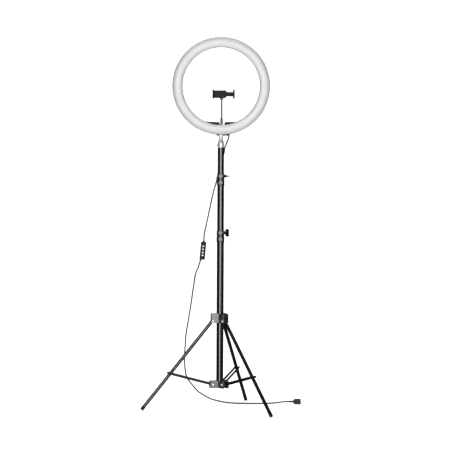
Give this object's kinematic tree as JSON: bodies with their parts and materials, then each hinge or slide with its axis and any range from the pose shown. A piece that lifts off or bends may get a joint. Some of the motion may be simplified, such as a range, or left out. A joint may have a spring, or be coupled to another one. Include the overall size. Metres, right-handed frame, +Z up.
{
  "type": "ring light on floor stand",
  "caption": "Ring light on a telescopic folding floor stand, with a phone clamp inside the ring, a wired remote and a powering plug on a cord.",
  "frame": {"origin": "the middle of the three feet's footprint, on the floor", "axes": "+Z up along the column, the lamp faces -Y, +X to the viewer's right"},
  "size_m": [0.618, 0.5113, 1.382],
  "materials": {
    "shell_plastic": "fine matte black moulded plastic",
    "diffuser_plastic": "milky white diffuser, unlit",
    "board_white": "white solder mask",
    "chip_phosphor": "yellow phosphor chips",
    "dark_steel": "blackened steel screws",
    "bracket_plastic": "black moulded plastic",
    "boot_rubber": "black cord boots and pads",
    "satin_steel": "satin steel",
    "knob_plastic": "black knob plastic",
    "adapter_silver": "satin silver casting",
    "tube_black": "glossy black coated tube",
    "clamp_black": "glossy black nylon",
    "rivet_steel": "bright rivet steel",
    "brace_black": "black coated flat bars with bright rivets",
    "foot_rubber": "black rubber tips",
    "clip_plastic": "grey clip plastic",
    "holder_plastic": "black clamp plastic",
    "remote_plastic": "black remote case",
    "button_white": "white silicone buttons",
    "board_green": "green circuit board",
    "plug_plastic": "black plug grip",
    "plug_nickel": "nickel plated sheet",
    "plug_white": "white contact tongue",
    "cord_jacket": "black soft cord jacket"
  },
  "bodies": {
    "column": {"lower_tube": "tube_black", "lower_clamp": "clamp_black", "bottom_hub": "clamp_black", "hub_pins": "rivet_steel", "plug_grip": "plug_plastic", "plug_shell": "plug_nickel", "plug_tongue": "plug_white", "cord_floor": "cord_jacket"},
    "middle_section": {"middle_tube": "tube_black", "upper_clamp": "clamp_black", "cable_clip": "clip_plastic", "remote_front": "remote_plastic", "remote_back": "remote_plastic", "remote_board": "board_green", "remote_boots": "boot_rubber", "cord_remote": "cord_jacket"},
    "top_section": {"top_tube": "tube_black", "top_spigot": "adapter_silver", "cord_column": "cord_jacket"},
    "adapter": {"adapter_body": "adapter_silver", "cord_neck": "cord_jacket"},
    "head": {"rear_shell": "shell_plastic", "front_diffuser": "diffuser_plastic", "led_board": "board_white", "led_chips": "chip_phosphor", "shell_screws": "dark_steel", "mount_housing": "bracket_plastic", "mount_cover": "bracket_plastic", "cover_screws": "dark_steel", "cable_gland": "boot_rubber", "holder_socket": "satin_steel", "tilt_bolt": "satin_steel", "tilt_nut": "knob_plastic", "cord_head": "cord_jacket"},
    "tilt_knob": {"tilt_knob": "knob_plastic"},
    "adapter_screw": {"adapter_screw": "knob_plastic"},
    "upper_knob": {"upper_knob": "knob_plastic"},
    "lower_knob": {"lower_knob": "knob_plastic"},
    "leg_lock_knob": {"leg_lock_knob": "knob_plastic"},
    "leg_collar": {"leg_collar": "clamp_black", "leg_pins": "rivet_steel"},
    "holder_rod": {"holder_rod": "tube_black"},
    "holder_elbow": {"holder_elbow": "holder_plastic"},
    "holder_clamp": {"holder_frame": "holder_plastic", "frame_pad": "boot_rubber"},
    "holder_jaw": {"holder_jaw": "holder_plastic", "jaw_pad": "boot_rubber"},
    "leg_left": {"leg_tube_left": "tube_black", "foot_cap_left": "foot_rubber"},
    "brace_left": {"brace_left": "brace_black"},
    "leg_right": {"leg_tube_right": "tube_black", "foot_cap_right": "foot_rubber"},
    "brace_right": {"brace_right": "brace_black"},
    "leg_back": {"leg_tube_back": "tube_black", "foot_cap_back": "foot_rubber"},
    "brace_back": {"brace_back": "brace_black"},
    "button_1": {"remote_button_1": "button_white"},
    "button_2": {"remote_button_2": "button_white"},
    "button_3": {"remote_button_3": "button_white"},
    "button_4": {"remote_button_4": "button_white"}
  },
  "joints": [
    {"name": "middle_slide", "type": "slide", "parent": "column", "child": "middle_section", "axis": [0, 0, 1], "range_m": [-0.13, 0.25], "deforming": ["cord_floor"]},
    {"name": "top_slide", "type": "slide", "parent": "middle_section", "child": "top_section", "axis": [0, 0, 1], "range_m": [-0.095, 0.3], "deforming": ["cord_column"]},
    {"name": "head_pan", "type": "hinge", "parent": "top_section", "child": "adapter", "pos_m": [0.05, -0.025, 0.975], "axis": [0, 0, 1], "range_deg": [-90, 90], "deforming": ["cord_neck"]},
    {"name": "head_tilt", "type": "hinge", "parent": "adapter", "child": "head", "pos_m": [0.05, -0.025, 1.027], "axis": [1, 0, 0], "range_deg": [-90, 35], "deforming": ["cord_head"]},
    {"name": "tilt_knob_turn", "type": "hinge", "parent": "head", "child": "tilt_knob", "pos_m": [0.065, -0.025, 1.027], "axis": [1, 0, 0], "range_deg": [0, 270]},
    {"name": "adapter_screw_turn", "type": "hinge", "parent": "adapter", "child": "adapter_screw", "pos_m": [0.05, -0.025, 0.984], "axis": [-0.2419, 0.9703, 0], "range_deg": [0, 270]},
    {"name": "upper_knob_turn", "type": "hinge", "parent": "middle_section", "child": "upper_knob", "pos_m": [0.05, -0.025, 0.8692], "axis": [0.9397, -0.342, 0], "range_deg": [0, 270]},
    {"name": "lower_knob_turn", "type": "hinge", "parent": "column", "child": "lower_knob", "pos_m": [0.05, -0.025, 0.6592], "axis": [0.9397, -0.342, 0], "range_deg": [0, 270]},
    {"name": "leg_lock_knob_turn", "type": "hinge", "parent": "leg_collar", "child": "leg_lock_knob", "pos_m": [0.05, -0.025, 0.349], "axis": [-0.6428, 0.766, 0], "range_deg": [0, 270]},
    {"name": "leg_fold", "type": "slide", "parent": "column", "child": "leg_collar", "axis": [0, 0, 1], "range_m": [0, 0.1767]},
    {"name": "leg_left_hinge", "type": "hinge", "parent": "leg_collar", "child": "leg_left", "pos_m": [0.02144, -0.03004, 0.331], "axis": [0.1736, -0.9848, 0], "range_deg": [0, 36.3]},
    {"name": "brace_left_hinge", "type": "hinge", "parent": "column", "child": "brace_left", "pos_m": [0.02341, -0.02969, 0.094], "axis": [-0.1736, 0.9848, 0], "range_deg": [0, 70.41]},
    {"name": "leg_right_hinge", "type": "hinge", "parent": "leg_collar", "child": "leg_right", "pos_m": [0.06864, -0.04722, 0.331], "axis": [0.766, 0.6428, 0], "range_deg": [0, 36.3]},
    {"name": "brace_right_hinge", "type": "hinge", "parent": "column", "child": "brace_right", "pos_m": [0.06735, -0.04568, 0.094], "axis": [-0.766, -0.6428, 0], "range_deg": [0, 70.41]},
    {"name": "leg_back_hinge", "type": "hinge", "parent": "leg_collar", "child": "leg_back", "pos_m": [0.05992, 0.00225, 0.331], "axis": [-0.9397, 0.342, 0], "range_deg": [0, 36.3]},
    {"name": "brace_back_hinge", "type": "hinge", "parent": "column", "child": "brace_back", "pos_m": [0.05924, 0.00037, 0.094], "axis": [0.9397, -0.342, 0], "range_deg": [0, 70.41]},
    {"name": "holder_swivel", "type": "hinge", "parent": "head", "child": "holder_rod", "pos_m": [0.052, -0.03, 1.06], "axis": [0, 0, 1], "range_deg": [-90, 90]},
    {"name": "holder_tilt", "type": "hinge", "parent": "holder_rod", "child": "holder_elbow", "pos_m": [0.052, -0.03, 1.156], "axis": [1, 0, 0], "range_deg": [-30, 5]},
    {"name": "holder_spin", "type": "hinge", "parent": "holder_elbow", "child": "holder_clamp", "pos_m": [0.052, -0.03, 1.172], "axis": [0, 1, 0], "range_deg": [-90, 0]},
    {"name": "jaw_slide", "type": "slide", "parent": "holder_clamp", "child": "holder_jaw", "axis": [1, 0, 0], "range_m": [-0.019, 0.011], "stiffness_N_per_m": 150, "springref_m": -0.025},
    {"name": "button_1_press", "type": "slide", "parent": "middle_section", "child": "button_1", "axis": [0, 1, 0], "range_m": [0, 0.0008], "stiffness_N_per_m": 200, "springref_m": -0.001},
    {"name": "button_2_press", "type": "slide", "parent": "middle_section", "child": "button_2", "axis": [0, 1, 0], "range_m": [0, 0.0008], "stiffness_N_per_m": 200, "springref_m": -0.001},
    {"name": "button_3_press", "type": "slide", "parent": "middle_section", "child": "button_3", "axis": [0, 1, 0], "range_m": [0, 0.0008], "stiffness_N_per_m": 200, "springref_m": -0.001},
    {"name": "button_4_press", "type": "slide", "parent": "middle_section", "child": "button_4", "axis": [0, 1, 0], "range_m": [0, 0.0008], "stiffness_N_per_m": 200, "springref_m": -0.001}
  ],
  "couplings": [
    {"joint": "leg_left_hinge", "follows": "leg_fold", "rad_per_m": 3.5843},
    {"joint": "brace_left_hinge", "follows": "leg_fold", "rad_per_m": 6.9518},
    {"joint": "leg_right_hinge", "follows": "leg_fold", "rad_per_m": 3.5843},
    {"joint": "brace_right_hinge", "follows": "leg_fold", "rad_per_m": 6.9518},
    {"joint": "leg_back_hinge", "follows": "leg_fold", "rad_per_m": 3.5843},
    {"joint": "brace_back_hinge", "follows": "leg_fold", "rad_per_m": 6.9518}
  ]
}
